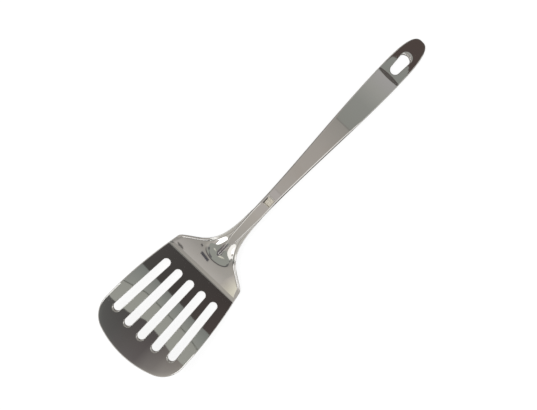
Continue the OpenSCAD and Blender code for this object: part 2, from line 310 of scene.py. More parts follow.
def addSlotRims(skin, slotLoops):
    # An upright wall, at the leading end a slope up to the face, and a rounded edge. Gives back the
    # lines where the flat faces start
    rim, sheet = slotRim, bladeSizes["sheet"]
    edgeZ = sheet - rim["roll"]
    topHoles, underHoles = [], []
    for loop in slotLoops:
        loop = loop[:, :2]
        out = -inwardNormals(loop, closed=True)
        if np.dot(out[0], loop[0] - loop.mean(axis=0)) < 0:
            out = -out
        tipward = loop[np.argmin(loop[:, 0])] - loop[np.argmax(loop[:, 0])]
        tipward /= np.linalg.norm(tipward)
        lead = rim["lead"] * (out @ tipward > 1e-3)[:, None] * tipward
        under = [raised(loop + out * inset, depth)
                 for inset, depth in rimSteps(rim["roll"], 3, [rim["underLanding"]])]
        top = []
        for share in np.linspace(0, 1, 10):
            drop = (1 - rim["hollow"]) * (1 - share) + rim["hollow"] * (1 - share) ** 3
            top.append(raised(loop + lead * share, edgeZ - (edgeZ - rim["wall"]) * drop))
        top += [raised(loop + lead + out * inset, sheet - depth)
                for inset, depth in rimSteps(rim["roll"], 5, [rim["roll"] + rim["landing"]])[1:]]
        skin.strips([skin.add(row) for row in under[::-1] + top], closed=True)
        topHoles.append(top[-1][:, :2])
        underHoles.append(under[-1][:, :2])
    return topHoles, underHoles


def buildBlade(slotLoops):
    s = bladeSizes
    skin = Skin()
    landings = [*s["landings"], s["crownWidth"]]
    top = rimSteps(s["topRound"], 6, landings)
    under = rimSteps(s["underRound"], 4, landings)
    outline = bladeOutline()
    inward = inwardNormals(outline, closed=False)
    slant = math.hypot(1, (sideHalf(outline[0][0] + 0.01) - sideHalf(outline[0][0] - 0.01)) / 0.02)
    inward[0] = (0, -slant)
    inward[-1] = (0, slant)

    topRings, underRings = [], []
    for inset, depth in top:
        spots = outline + inward * inset
        topRings.append(skin.add(raised(spots, s["sheet"] - depth - crown(spots[:, 0], inset))))
    for inset, depth in under:
        underRings.append(skin.add(raised(outline + inward * inset, depth)))
    skin.strips(topRings)
    skin.strips(underRings)
    skin.strip(topRings[0], underRings[0])
    topHoles, underHoles = addSlotRims(skin, slotLoops)

    # The formed part: sections across the sheet from the crease to the end of the tang
    neckStop = profile["neckEnd"] - 2 * s["sideGap"]
    neckRows = (neckStop, s["neckRows"])
    stations = [(x, float(bladeHalf(x))) for x in spaced(outline[0][0], *s["formedRows"], neckRows)]
    tangHalf = s["neckWidth"] / 2 - profile["wall"] - s["sideGap"]
    stations += [(x, tangHalf)
                 for x in np.linspace(neckStop + 0.05, neckStop + s["tangLength"], s["tangRows"])]
    middle = np.linspace(-1, 1, s["columns"])

    def section(x, half, steps, bend, level, sign):
        askew = (float(bladeHalf(x + 0.01)) - half) / 0.01 if x < neckStop - 0.02 else 0
        scale = min(math.hypot(1, askew), s["edgeStretch"])
        if x <= outline[0][0] + 1e-6:
            scale = slant
        scale = min(scale, s["edgeShare"] * half / steps[-1][0])
        edge = half - steps[:, 0] * scale
        y = np.concatenate([-edge, middle[1:-1] * edge[-1], edge[::-1]])
        depth = np.concatenate([steps[:, 1], np.zeros(len(middle) - 2), steps[::-1, 1]])
        z = sheetZ(np.full(len(y), float(x)), y, bend) + level - sign * depth
        return skin.add(np.column_stack([np.full(len(y), x), y, z]))

    rowsTop = [section(x, h, top, s["bendShare"], s["sheet"], 1) for x, h in stations]
    rowsUnder = [section(x, h, under, 0.0, 0, -1) for x, h in stations]
    skin.strips(rowsTop)
    skin.strips(rowsUnder)
    for a, b, c, d in zip(rowsTop, rowsUnder, rowsTop[1:], rowsUnder[1:]):
        skin.faces.append((a[0], b[0], d[0], c[0]))
        skin.faces.append((a[-1], c[-1], d[-1], b[-1]))
    skin.faces.append(tuple(rowsTop[-1] + rowsUnder[-1][::-1]))

    # The flat faces, filled between the rims and the first section
    def fillFlat(outer, row, holes, level, flip):
        count = len(top) if level else len(under)
        border = [skin.points[i][:2] for i in outer + row[count:-count]]
        spots, triangles = fillPlan(border, holes)
        skin.fill(spots, level, triangles, flip)

    fillFlat(topRings[-1], rowsTop[0], topHoles, s["sheet"], False)
    fillFlat(underRings[-1], rowsUnder[0], underHoles, 0.0, True)
    return skin.make("bladeSheet")


def addNode(tree, kind, settings=None, output=0):
    # Adds a node, sets its properties and inputs, and links each input whose value is a socket.
    # Gives back one of the node's outputs
    node = tree.nodes.new(kind)
    for key, value in (settings or {}).items():
        if isinstance(key, str) and hasattr(node, key):
            setattr(node, key, value)
        elif isinstance(value, bpy.types.NodeSocket):
            tree.links.new(value, node.inputs[key])
        else:
            node.inputs[key].default_value = value
    return node.outputs[output] if node.outputs else node


def newTree(name, sizes):
    # A Geometry Nodes tree with an input for each size, and the sockets of its input node
    tree = bpy.data.node_groups.new(name, "GeometryNodeTree")
    kinds = {int: "NodeSocketInt", float: "NodeSocketFloat"}
    sockets = [("Geometry", "INPUT", "NodeSocketGeometry")]
    sockets += [(key, "INPUT", kinds[type(value)]) for key, value in sizes.items()]
    sockets += [("Material", "INPUT", "NodeSocketMaterial"), ("Geometry", "OUTPUT", "NodeSocketGeometry")]
    for key, way, kind in sockets:
        tree.interface.new_socket(key, in_out=way, socket_type=kind)
    return tree, addNode(tree, "NodeGroupInput").node.outputs


def finishTree(tree, size, geometry):
    coated = addNode(tree, "GeometryNodeSetMaterial", {"Geometry": geometry, "Material": size["Material"]})
    addNode(tree, "NodeGroupOutput", {0: coated})
    return tree


def slotTree():
    # Outlines of the drain slots: circles fanned across the blade, their leading halves drawn out
    tree, size = newTree("fannedSlots", slotSizes)

    index = addNode(tree, "GeometryNodeInputIndex")
    last = addNode(tree, "ShaderNodeMath", {"operation": "SUBTRACT", 0: size["Slot Count"], 1: 1})
    middle = addNode(tree, "ShaderNodeMath", {"operation": "DIVIDE", 0: last, 1: 2})
    place = addNode(tree, "ShaderNodeMath", {"operation": "SUBTRACT", 0: index, 1: middle})
    heelY = addNode(tree, "ShaderNodeMath", {"operation": "MULTIPLY", 0: place, 1: size["Pitch At Heel"]})
    tipY = addNode(tree, "ShaderNodeMath", {"operation": "MULTIPLY", 0: place, 1: size["Pitch At Tip"]})
    # The centres near the leading edge lie on an arc, so the outer slots end sooner
    bow = size["Bow Radius"]
    bowSquare = addNode(tree, "ShaderNodeMath", {"operation": "MULTIPLY", 0: bow, 1: bow})
    tipSquare = addNode(tree, "ShaderNodeMath", {"operation": "MULTIPLY", 0: tipY, 1: tipY})
    reachSquare = addNode(tree, "ShaderNodeMath", {"operation": "SUBTRACT", 0: bowSquare, 1: tipSquare})
    reach = addNode(tree, "ShaderNodeMath", {"operation": "SQRT", 0: reachSquare})
    short = addNode(tree, "ShaderNodeMath", {"operation": "SUBTRACT", 0: bow, 1: reach})
    tipX = addNode(tree, "ShaderNodeMath", {"operation": "ADD", 0: size["Tip Centre X"], 1: short})
    heel = addNode(tree, "ShaderNodeCombineXYZ", {0: size["Heel Centre X"], 1: heelY})
    tip = addNode(tree, "ShaderNodeCombineXYZ", {0: tipX, 1: tipY})
    run = addNode(tree, "ShaderNodeVectorMath", {"operation": "SUBTRACT", 0: tip, 1: heel})

    points = addNode(tree, "GeometryNodePoints", {"Count": size["Slot Count"]})
    placed = addNode(tree, "GeometryNodeSetPosition", {"Geometry": points, "Position": heel})
    marked = addNode(tree, "GeometryNodeStoreNamedAttribute", {
        "data_type": "FLOAT_VECTOR", "domain": "POINT", "Geometry": placed, "Name": "slotRun", "Value": run})
    turn = addNode(tree, "FunctionNodeAlignRotationToVector", {"axis": "X", "Vector": run})
    radius = addNode(tree, "ShaderNodeMath", {"operation": "DIVIDE", 0: size["Slot Width"], 1: 2})
    circle = addNode(tree, "GeometryNodeCurvePrimitiveCircle", {
        "mode": "RADIUS", "Resolution": size["Points Round"], "Radius": radius})
    halfStep = addNode(tree, "ShaderNodeMath", {"operation": "DIVIDE", 0: math.pi, 1: size["Points Round"]})
    spin = addNode(tree, "ShaderNodeCombineXYZ", {2: halfStep})
    turned = addNode(tree, "GeometryNodeTransform", {"Geometry": circle, "Rotation": spin})
    where = addNode(tree, "GeometryNodeInputPosition")
    forward = addNode(tree, "ShaderNodeSeparateXYZ", {0: where})
    tipward = addNode(tree, "ShaderNodeMath", {"operation": "GREATER_THAN", 0: forward, 1: 0.0})
    halves = addNode(tree, "GeometryNodeStoreNamedAttribute", {
        "data_type": "FLOAT", "domain": "POINT", "Geometry": turned, "Name": "towardTip", "Value": tipward})
    fanned = addNode(tree, "GeometryNodeInstanceOnPoints", {
        "Points": marked, "Instance": halves, "Rotation": turn})
    real = addNode(tree, "GeometryNodeRealizeInstances", {"Geometry": fanned})
    slotRun = addNode(tree, "GeometryNodeInputNamedAttribute", {
        "data_type": "FLOAT_VECTOR", "Name": "slotRun"})
    towardTip = addNode(tree, "GeometryNodeInputNamedAttribute", {"data_type": "FLOAT", "Name": "towardTip"})
    shift = addNode(tree, "ShaderNodeVectorMath", {"operation": "SCALE", 0: slotRun, "Scale": towardTip})
    drawn = addNode(tree, "GeometryNodeSetPosition", {"Geometry": real, "Offset": shift})
    lines = addNode(tree, "GeometryNodeCurveToMesh", {"Curve": drawn})
    return finishTree(tree, size, lines)


def runTree(tree, values, name, mesh=None):
    # Runs a tree on a mesh, or on an empty one, and gives back the plain mesh
    carrier = placeObject(name, mesh or bpy.data.meshes.new(name))
    modifier = carrier.modifiers.new(name, "NODES")
    modifier.node_group = tree
    for item in tree.interface.items_tree:
        if item.in_out == "INPUT" and item.name in values:
            modifier[item.identifier] = values[item.name]
    graph = bpy.context.evaluated_depsgraph_get()
    mesh = bpy.data.meshes.new_from_object(carrier.evaluated_get(graph))
    bpy.data.objects.remove(carrier)
    return mesh


def slotOutlines(material):
    mesh = runTree(slotTree(), {**slotSizes, "Material": material}, "slotOutlines")
    spots = np.array([v.co[:] for v in mesh.vertices])
    return spots.reshape(slotSizes["Slot Count"], slotSizes["Points Round"], 3)


handleSizes = {
    "neckWidth": 10.2, "width": 21.1, "endLength": 35.7, "endPower": 2.85,
    "thickness": 4.6, "edgeRadius": 1.1, "edgeLand": 0.3,
    "gripRadius": 1.8,       # softer long edges along the grip
    "gripSpan": (60, 90, 148, 178),
    "stepBow": 0.9, "stepPinch": 0.6,      # the step bows towards the blade and thins out at its ends
    "noseX": 20.5, "beakLength": 6, "beakWidth": 2.2, "noseOpen": 14, "noseWidth": 7.8,
    "beakRise": 0.2,         # share of the nose's height at its tip
    "tabLength": 38.7, "tabDrop": 1.4, "stepLength": 3.4, "tabDish": 0.5,
    "holeNear": 8.5, "holeFar": 9.9, "holeLength": 20.2, "holeLand": 13.4,
    "crimpX": 10.5, "crimpLength": 6.9, "crimpWidth": 6.2,
    "crimpDepth": 0.7, "crimpRamp": -0.12, "crimpEdge": 0.3,
    "footFlare": 1.7,        # concave sweep of the nose onto the scoop
    "flareRoom": 0.7, "flareHeight": 0.85,     # most of the scoop's width and of the wall it may take
    "noseRound": 0.4, "wallRound": 0.75,       # most of the nose's half width and of the wall to round
    "noseLand": 0.95,        # most of the half width out to where the nose's face starts
    "beakWall": 0.1, "closedX": 30, "openX": 48,     # the sheet thins out in the beak between these
    "holeRoll": 0.25, "holeRollDepth": 1.5,
    "holeFarRoll": 2.6, "holeFarStart": 0.5, "holeFarReach": 0.55,     # wider slope round the far end
    "holeRimX": (0, 0.55, 0.8, 1), "holeRimZ": (0, 0.27, 0.66, 1),
    "holePoints": 28,        # along each round end, half as many along each side
    "holeRows": 15, "faceColumns": 45,
    "tabGrid": 0.9,          # spacing of the points in the tab's face
}
widestX = profile["handleLength"] - handleSizes["endLength"]
padEnd = profile["handleLength"] - handleSizes["tabLength"]
noseOpenX = handleSizes["noseX"] + handleSizes["beakLength"] + handleSizes["noseOpen"]
crimpMid = profile["neckEnd"] + handleSizes["crimpX"] + handleSizes["crimpLength"] / 2


def handleHalf(x):
    h = handleSizes
    if x < noseOpenX:
        opened = ease(x, h["noseX"] + h["beakLength"], noseOpenX)
        return h["beakWidth"] / 2 + (h["noseWidth"] - h["beakWidth"]) / 2 * opened
    if x < profile["neckEnd"]:
        run = (x - noseOpenX) / (profile["neckEnd"] - noseOpenX)
        return h["noseWidth"] / 2 + (h["neckWidth"] - h["noseWidth"]) / 2 * run
    if x < widestX:
        widened = ease(x, profile["neckEnd"], widestX)
        return h["neckWidth"] / 2 + (h["width"] - h["neckWidth"]) / 2 * widened
    part = min((x - widestX) / h["endLength"], 1)
    return h["width"] / 2 * (1 - part ** h["endPower"]) ** (1 / h["endPower"])


def dishShare(x, y):  # 1 in the middle of the tab, 0 along its rolled edge
    h = handleSizes
    rim, power = h["edgeRadius"] + h["edgeLand"], h["endPower"]
    along = np.clip((x - widestX) / (h["endLength"] - rim), 0, 2)
    across = np.abs(y) / (h["width"] / 2 - rim)
    return np.clip(1 - (along ** power + across ** power) ** (2 / power), 0, 1)


def faceZ(x, y, half):
    h, p = handleSizes, profile
    noseH = h["thickness"] - p["wall"] - 2 * p["seat"] - bladeSizes["sheet"]
    climb = ease(x, h["noseX"], h["noseX"] + h["beakLength"] + h["noseOpen"])
    noseH *= h["beakRise"] + (1 - h["beakRise"]) * climb
    nose = floorZ(x) + bladeSizes["sheet"] + p["seat"] + noseH
    across = np.clip(y / np.maximum(half, 1e-6), -1, 1) ** 2
    stepStart = padEnd + h["stepBow"] * across
    down = ease(x, stepStart, stepStart + h["stepLength"] * (1 - h["stepPinch"] * across))
    dish = h["tabDish"] * down * dishShare(x, y)
    body = handleZ(x) + h["thickness"] - h["tabDrop"] * down - dish
    halfLong, halfWide, soft = h["crimpLength"] / 2, h["crimpWidth"] / 2, h["crimpEdge"]
    pocket = ((1 - ease(np.abs(x - crimpMid), halfLong - soft, halfLong + soft))
              * (1 - ease(np.abs(y), halfWide - soft, halfWide + soft)))
    sink = h["crimpDepth"] - h["crimpRamp"] * np.clip((x - crimpMid) / halfLong, -1, 1)
    return np.where(x < p["neckEnd"], nose, body) - sink * pocket


def edgeRadius(x):
    h = handleSizes
    a, b, c, d = h["gripSpan"]
    softer = float(ease(x, a, b) * (1 - ease(x, c, d)))
    return h["edgeRadius"] + (h["gripRadius"] - h["edgeRadius"]) * softer


def handleStations():
    # Outline stations [x, half width] with closer ones at the nose, crimp, step and round end
    h, p = handleSizes, profile
    a, b = crimpMid - h["crimpLength"] / 2, crimpMid + h["crimpLength"] / 2
    x = spaced(h["noseX"], (noseOpenX + 4, 56), (p["neckEnd"] - 0.05, 20), (p["neckEnd"], 2),
               (a - 1, 9), (a + 1, 12), (b - 1, 6), (b + 1, 12), (padEnd - 1, 70),
               (padEnd + h["stepLength"] + 1, 26))
    ends = []
    for angle in np.radians(np.linspace(2, 90, 56)):
        ends.append(widestX + h["endLength"] * math.sin(angle) ** (2 / h["endPower"]))
    x = np.concatenate([x, [e for e in ends if e > x[-1] + 0.2]])
    return np.array([(v, handleHalf(v)) for v in x])


def holeOutline(grow):
    # Tapered slot with round ends, in plan, going round anticlockwise from the near end
    h, p = handleSizes, profile
    far = p["handleLength"] - h["holeLand"] - h["holeFar"] / 2
    near = p["handleLength"] - h["holeLand"] - h["holeLength"] + h["holeNear"] / 2
    r1, r2 = h["holeNear"] / 2 + grow, h["holeFar"] / 2 + grow
    lean = math.asin((r2 - r1) / (far - near))
    a = np.linspace(math.pi / 2 + lean, 3 * math.pi / 2 - lean, h["holePoints"])
    b = np.linspace(-math.pi / 2 - lean, math.pi / 2 + lean, h["holePoints"])
    nearArc = np.column_stack([near + r1 * np.cos(a), r1 * np.sin(a)])
    farArc = np.column_stack([far + r2 * np.cos(b), r2 * np.sin(b)])

    def run(p0, p1):
        return p0 + (p1 - p0) * np.linspace(0, 1, h["holePoints"] // 2 + 2)[1:-1, None]

    return np.concatenate([nearArc, run(nearArc[-1], farArc[0]), farArc, run(farArc[-1], nearArc[0])])


def holeEdges():
    # Top edge of the hang hole, the direction into it and how wide its rim slopes at each point
    h = handleSizes
    loop = holeOutline(0)
    inward = inwardNormals(loop, closed=True)
    farX = loop[:, 0].max()
    tip = ease(loop[:, 0], farX - h["holeFar"] * h["holeFarReach"], farX)
    roll = h["holeRoll"] + (h["holeFarRoll"] - h["holeRoll"]) * tip
    return loop - inward * (h["holeFarStart"] * tip)[:, None], inward, roll


def handleNormals(x, half):
    # Normals of the outline in plan, outward on the +Y side
    h = handleSizes
    nx, ny = -np.gradient(half, x), np.ones(len(x))
    ended = x > widestX
    nx[ended] = ((x[ended] - widestX) / h["endLength"]) ** (h["endPower"] - 1) / h["endLength"]
    ny[ended] = (half[ended] / (h["width"] / 2)) ** (h["endPower"] - 1) / (h["width"] / 2)
    nx[x < profile["neckEnd"]] = 0
    length = np.hypot(nx, ny)
    return nx / length, ny / length


def tabZ(spots):
    return faceZ(spots[:, 0], spots[:, 1], np.array([handleHalf(v) for v in spots[:, 0]]))


def fillTab(skin, rows):
    # The tab's face round the hang hole, from the last section that runs right across
    h, p = handleSizes, profile
    lastFull = max(i for i, row in enumerate(rows) if row[2])
    numbers, count, _ = rows[lastFull]
    left = [row[0][count - 1] for row in rows[lastFull:]]
    right = [row[0][-count] for row in rows[lastFull:]]
    border = np.array([skin.points[i][:2] for i in left + right[-2::-1] + numbers[count:-count][::-1]])
    outer, inward, roll = holeEdges()
    landing = outer - inward * h["edgeLand"]
    holeRows = [raised(landing, tabZ(landing))]
    for share in np.linspace(0, 1, h["holeRows"]):
        spots = outer + inward * (roll * share)[:, None]
        sunk = h["holeRollDepth"] * np.interp(share, h["holeRimX"], h["holeRimZ"])
        holeRows.append(raised(spots, tabZ(outer) - sunk))
    holeRows.append(raised(spots, handleZ(spots[:, 0]) + p["wall"] + p["seat"]))
    skin.strips([skin.add(row) for row in holeRows], closed=True)

    inner, gap = [], h["tabGrid"]
    clear = holeOutline(0.35 + gap * 1.7)
    for x in np.arange(border[:, 0].min() + gap, border[:, 0].max() - gap, gap):
        limit = handleHalf(x) - h["edgeRadius"] - h["edgeLand"] - gap * 0.5
        for y in np.arange(-limit, limit + 1e-6, 2 * limit / max(2, round(2 * limit / gap))):
            if limit > gap and not insideLoop([(x, y)], clear)[0]:
                inner.append((x, y))
    spots, triangles = fillPlan(border, [landing], inner)
    skin.fill(spots, tabZ(spots), triangles)


def buildHandleFront():
    h, p = handleSizes, profile
    skin = Skin()
    x, half = handleStations().T
    nx, ny = handleNormals(x, half)
    face = np.linspace(-1, 1, h["faceColumns"])[1:-1]
    faceStop = padEnd + h["stepLength"] + 1.5

    def onBlade(x, y):  # where the foot of the skirt stands on the neck of the blade
        return float(sheetZ(np.array([x]), np.array([y]))[0]) + bladeSizes["sheet"] + p["seat"] / 2

    sections = []
    for xi, hi, outX, outY in zip(*(values.tolist() for values in (x, half, nx, ny))):
        edgeTop = float(faceZ(xi, hi, hi))
        inNeck = xi < p["neckEnd"]
        foot = onBlade(xi, hi) if inNeck else handleZ(xi)
        r = min(edgeRadius(xi), h["wallRound"] * (edgeTop - foot))
        r = max(min(r, h["noseRound"] * hi) if inNeck else r, 0.1)
        landing = r + h["edgeLand"]
        side = []      # from the foot up, on the +Y side: (x, y, z)
        if inNeck:
            landing = min(landing, h["noseLand"] * hi)
            room = max(float(bladeHalf(xi)) - hi, 0.02)
            flare = min(h["footFlare"], h["flareRoom"] * room,
                        h["flareHeight"] * (edgeTop - r - foot) + 0.02)
            for a in np.radians(np.linspace(90, 0, 7)):
                y = hi + flare * (1 - math.cos(a))
                side.append((xi, y, onBlade(xi, y) + flare * (1 - math.sin(a))))
        else:
            for t in np.linspace(0, 1, 7):
                side.append((xi, hi, foot + (edgeTop - r - foot) * t))
        for inset, depth in rimSteps(r, 11, [landing]):
            px, py = xi - outX * inset, hi - outY * inset
            side.append((px, py, float(faceZ(px, py, handleHalf(px))) - depth))
        lastX, lastY = side[-1][:2]
        row = [(sx, -sy, sz) for sx, sy, sz in side]
        if xi < faceStop:
            row += [(lastX, t * lastY, float(faceZ(lastX, t * lastY, handleHalf(lastX)))) for t in face]
        row += side[::-1]
        sections.append((row, len(side), xi < faceStop))
    rows = [(skin.add(row), count, full) for row, count, full in sections]
    for (a, count, fullA), (b, _, fullB) in zip(rows, rows[1:]):
        if fullA and fullB:
            skin.strip(a, b)
        else:
            skin.strip(a[:count], b[:count])
            skin.strip(a[-count:], b[-count:])
    skin.faces.append(tuple(rows[0][0][::-1]))  # front of the beak
    fillTab(skin, rows)
    return skin.make("handleFrontFace", weld=4e-3)


# In metres, as the tree works on the finished face
sheetSizes = {
    "Wall": profile["wall"] * mm, "Beak Wall": handleSizes["beakWall"] * mm,
    "Beak X": (profile["lieShift"] + handleSizes["closedX"]) * mm,
    "Throat X": (profile["lieShift"] + handleSizes["openX"]) * mm,
}


def sheetTree():
    # Gives a face the thickness of its sheet: full along the handle, thin where the beak closes up
    tree, size = newTree("sheetThickness", sheetSizes)
    where = addNode(tree, "GeometryNodeInputPosition")
    along = addNode(tree, "ShaderNodeSeparateXYZ", {0: where})
    depth = addNode(tree, "ShaderNodeMapRange", {
        "interpolation_type": "SMOOTHSTEP", "Value": along, "From Min": size["Beak X"],
        "From Max": size["Throat X"], "To Min": size["Beak Wall"], "To Max": size["Wall"]})
    inward = addNode(tree, "ShaderNodeMath", {"operation": "MULTIPLY", 0: depth, 1: -1.0})
    inner = addNode(tree, "GeometryNodeExtrudeMesh", {
        "mode": "FACES", "Mesh": size["Geometry"], "Offset Scale": inward, "Individual": False})
    turned = addNode(tree, "GeometryNodeFlipFaces", {"Mesh": inner})
    joined = addNode(tree, "GeometryNodeJoinGeometry", {0: size["Geometry"]})
    tree.links.new(turned, joined.node.inputs[0])
    welded = addNode(tree, "GeometryNodeMergeByDistance", {"Geometry": joined, "Distance": 1e-6})
    real = addNode(tree, "GeometryNodeRealizeInstances", {"Geometry": welded})
    return finishTree(tree, size, real)


backSizes = {"inset": 0.95, "startGap": 0.15, "edgeRound": 0.25, "landing": 0.3}


def buildHandleBack():
    h, p = handleSizes, profile
    skin = Skin()
    inset, r = backSizes["inset"], backSizes["edgeRound"]
    x = np.linspace(p["neckEnd"] + backSizes["startGap"], widestX, 60)
    half = [handleHalf(v) - inset for v in x]
    ends = []
    for angle in np.radians(np.linspace(2, 90, 40)):
        ends.append((widestX + (h["endLength"] - inset) * math.sin(angle) ** (2 / h["endPower"]),
                     (h["width"] / 2 - inset) * max(math.cos(angle), 0) ** (2 / h["endPower"])))
    outline = mirrored(list(zip(x, half)) + ends)
    inward = inwardNormals(outline, closed=True)
    if np.dot(inward[20], (0, -1)) < 0:
        inward = -inward
    hole, holeIn, roll = holeEdges()
    wallSpots = hole + holeIn * roll[:, None]
    borders = []
    for loop, into in ((outline, inward), (wallSpots, -holeIn)):
        steps = [(loop + into * offset, depth)
                 for offset, depth in rimSteps(r, 3, [r + backSizes["landing"]])[::-1]]
        rows = [raised(spots, handleZ(spots[:, 0]) + depth) for spots, depth in steps]
        rows += [raised(spots, handleZ(spots[:, 0]) + p["wall"] - depth) for spots, depth in steps[::-1]]
        skin.strips([skin.add(row) for row in rows], closed=True)
        borders.append(steps[0][0])
    inner = [(v, 0.0) for v in np.arange(p["neckEnd"] + 3, p["handleLength"] - 4, 3.0)
             if not insideLoop([(v, 0.0)], holeOutline(0))[0]]
    spots, triangles = fillPlan(borders[0], borders[1:], inner)
    skin.fill(spots, handleZ(spots[:, 0]), triangles, flip=True)
    skin.fill(spots, handleZ(spots[:, 0]) + p["wall"], triangles)
    return skin.make("handleBackPlate")


def hexLinear(code):
    # sRGB hex to linear RGBA
    parts = [int(code[i:i + 2], 16) / 255 for i in (1, 3, 5)]
    return [c / 12.92 if c <= 0.04045 else ((c + 0.055) / 1.055) ** 2.4 for c in parts] + [1]


def newMaterial(name):
    material = bpy.data.materials.new(name)
    material.use_nodes = True
    tree = material.node_tree
    tree.nodes.clear()
    return material, tree


def grain(tree, place, size, detail=2.0, turn=0.0):
    # Noise whose features have the given size in mm along X, Y and Z, turned by an angle in plan
    turned = addNode(tree, "ShaderNodeVectorRotate", {
        "rotation_type": "Z_AXIS", "Vector": place, "Angle": math.radians(turn)})
    scaled = addNode(tree, "ShaderNodeVectorMath", {
        "operation": "MULTIPLY", 0: turned, 1: tuple(1 / (s * mm) for s in size)})
    return addNode(tree, "ShaderNodeTexNoise", {
        "Vector": scaled, "Scale": 1.0, "Detail": detail, "Roughness": 0.55})


def handlingFilm(tree, place, look):
    # Where the film from handling lies, in soft patches
    smudge = grain(tree, place, (look["smudge"],) * 3, 4.0)
    low, high = look["smudgeRange"]
    return addNode(tree, "ShaderNodeMapRange", {
        "interpolation_type": "SMOOTHSTEP", "Value": smudge, "From Min": low, "From Max": high})


def patchMask(tree, place, centre, halves, soft):
    # 1 inside a rectangle in plan, in mm
    axes = addNode(tree, "ShaderNodeSeparateXYZ", {0: place}).node.outputs
    sides = []
    for axis, middle, half in zip(axes, centre, halves):
        offset = addNode(tree, "ShaderNodeMath", {"operation": "SUBTRACT", 0: axis, 1: middle * mm})
        away = addNode(tree, "ShaderNodeMath", {"operation": "ABSOLUTE", 0: offset})
        sides.append(addNode(tree, "ShaderNodeMapRange", {
            "interpolation_type": "SMOOTHSTEP", "Value": away, "From Min": (half - soft) * mm,
            "From Max": (half + soft) * mm, "To Min": 1.0, "To Max": 0.0}))
    return addNode(tree, "ShaderNodeMath", {"operation": "MULTIPLY", 0: sides[0], 1: sides[1]})


def layered(tree, colour, *layers):
    # Lays colours over the first one, each by its mask
    colour = hexLinear(colour)
    for mask, code in layers:
        colour = addNode(tree, "ShaderNodeMix", {
            "data_type": "RGBA", 0: mask, 6: colour, 7: hexLinear(code)}, 2)
    return colour


def weighted(tree, total, *parts):
    # Adds each value times its weight to a number
    for value, weight in parts:
        part = addNode(tree, "ShaderNodeMath", {"operation": "MULTIPLY", 0: value, 1: weight})
        total = addNode(tree, "ShaderNodeMath", {"operation": "ADD", 0: total, 1: part})
    return total


def finishSteel(tree, colour, rough, height):
    bump = addNode(tree, "ShaderNodeBump", {"Strength": 1.0, "Distance": mm, "Height": height})
    steel = addNode(tree, "ShaderNodeBsdfPrincipled", {
        "Metallic": 1.0, "Base Color": colour, "Roughness": rough, "Normal": bump})
    addNode(tree, "ShaderNodeOutputMaterial", {"Surface": steel})


# Mirror-polished 18/0 stainless steel: the eye sees the room in it, a little bent by the slight waves that
# pressing leaves, with hair-fine lines of the polishing wheel along the turner, a few stray scratches, and
# a thin film from handling that dulls it in patches. Sizes in mm.
polishedLook = {
    "steel": "#D6D5D3", "film": "#D4D2CF", "scratch": "#E0DFDD",
    "wave": 17, "waveHeight": 0.006,
    "lines": (14, 0.16, 0.16), "lineHeight": 0.00012, "lineRoughness": 0.012,
    "smudge": 21, "smudgeRange": (0.5, 0.72),
    "scratches": (((11, 0.11, 2), 24, 0.76), ((8, 0.1, 2), -57, 0.77)),  # size, turn, threshold
    "scratchFull": 0.8, "scratchRoughness": 0.1,
    "roughness": 0.022, "filmRoughness": 0.03,
    # The crimp's floor: rougher bare steel, its light cream colour a painted highlight
    "bareFloorAndSheen": "#F2EEE2", "recessRoughness": 0.42, "recessMargin": 0.1, "recessSoft": 0.25,
    # Painted shade: a dark strip under the crimp's upper wall
    "paintedShade": "#35312E", "shadeShift": 0.4, "shadeMargin": 0.5, "shadeHalf": 0.45,
    "shadeSoft": 0.2,
}


def polishedSteel():
    look, h = polishedLook, handleSizes
    material, tree = newMaterial("polishedStainlessSteel")
    place = addNode(tree, "ShaderNodeTexCoord", output="Object")
    wave = grain(tree, place, (look["wave"],) * 3, 1.0)
    lines = grain(tree, place, look["lines"], 3.0)
    film = handlingFilm(tree, place, look)
    scratches = []
    for size, turn, threshold in look["scratches"]:
        scratches.append(addNode(tree, "ShaderNodeMapRange", {
            "interpolation_type": "SMOOTHSTEP", "Value": grain(tree, place, size, 1.0, turn),
            "From Min": threshold, "From Max": look["scratchFull"]}))
    scratched = addNode(tree, "ShaderNodeMath", {"operation": "MAXIMUM", 0: scratches[0], 1: scratches[1]})
    # The floor of the crimp is bare from the press and rough, its light colour a painted highlight; a
    # painted shade darkens the strip under its upper wall
    crimpX = layDown([(crimpMid, 0, handleZ(crimpMid))])[0][0] / mm
    halfLong, wallY = h["crimpLength"] / 2, h["crimpWidth"] / 2 - look["recessMargin"]
    bareFloorAndSheen = patchMask(tree, place, (crimpX, 0), (halfLong - look["recessMargin"], wallY),
                       look["recessSoft"])
    paintedShade = patchMask(tree, place, (crimpX - look["shadeShift"], wallY),
                        (halfLong - look["shadeMargin"], look["shadeHalf"]), look["shadeSoft"])

    colour = layered(tree, look["steel"], (film, look["film"]), (scratched, look["scratch"]),
                     (bareFloorAndSheen, look["bareFloorAndSheen"]), (paintedShade, look["paintedShade"]))
    bare = addNode(tree, "ShaderNodeMath", {"operation": "MAXIMUM", 0: bareFloorAndSheen, 1: paintedShade})
    rough = weighted(tree, look["roughness"], (film, look["filmRoughness"]), (lines, look["lineRoughness"]),
                     (scratched, look["scratchRoughness"]), (bare, look["recessRoughness"]))
    height = weighted(tree, 0.0, (wave, look["waveHeight"]), (lines, look["lineHeight"]))
    finishSteel(tree, colour, rough, height)
    return material


# The hidden back is the same steel left with a satin brush along its length: it blurs the room and shows
# fine streaks, with a duller film from handling in soft patches. Sizes in mm.
satinLook = {
    "steel": "#C9C6C1", "film": "#BFBBB5",
    "streaks": (18, 0.22, 0.22), "streakHeight": 0.0016, "streakRoughness": 0.1,
    "smudge": 16, "smudgeRange": (0.48, 0.7), "roughness": 0.24, "filmRoughness": 0.06,
}


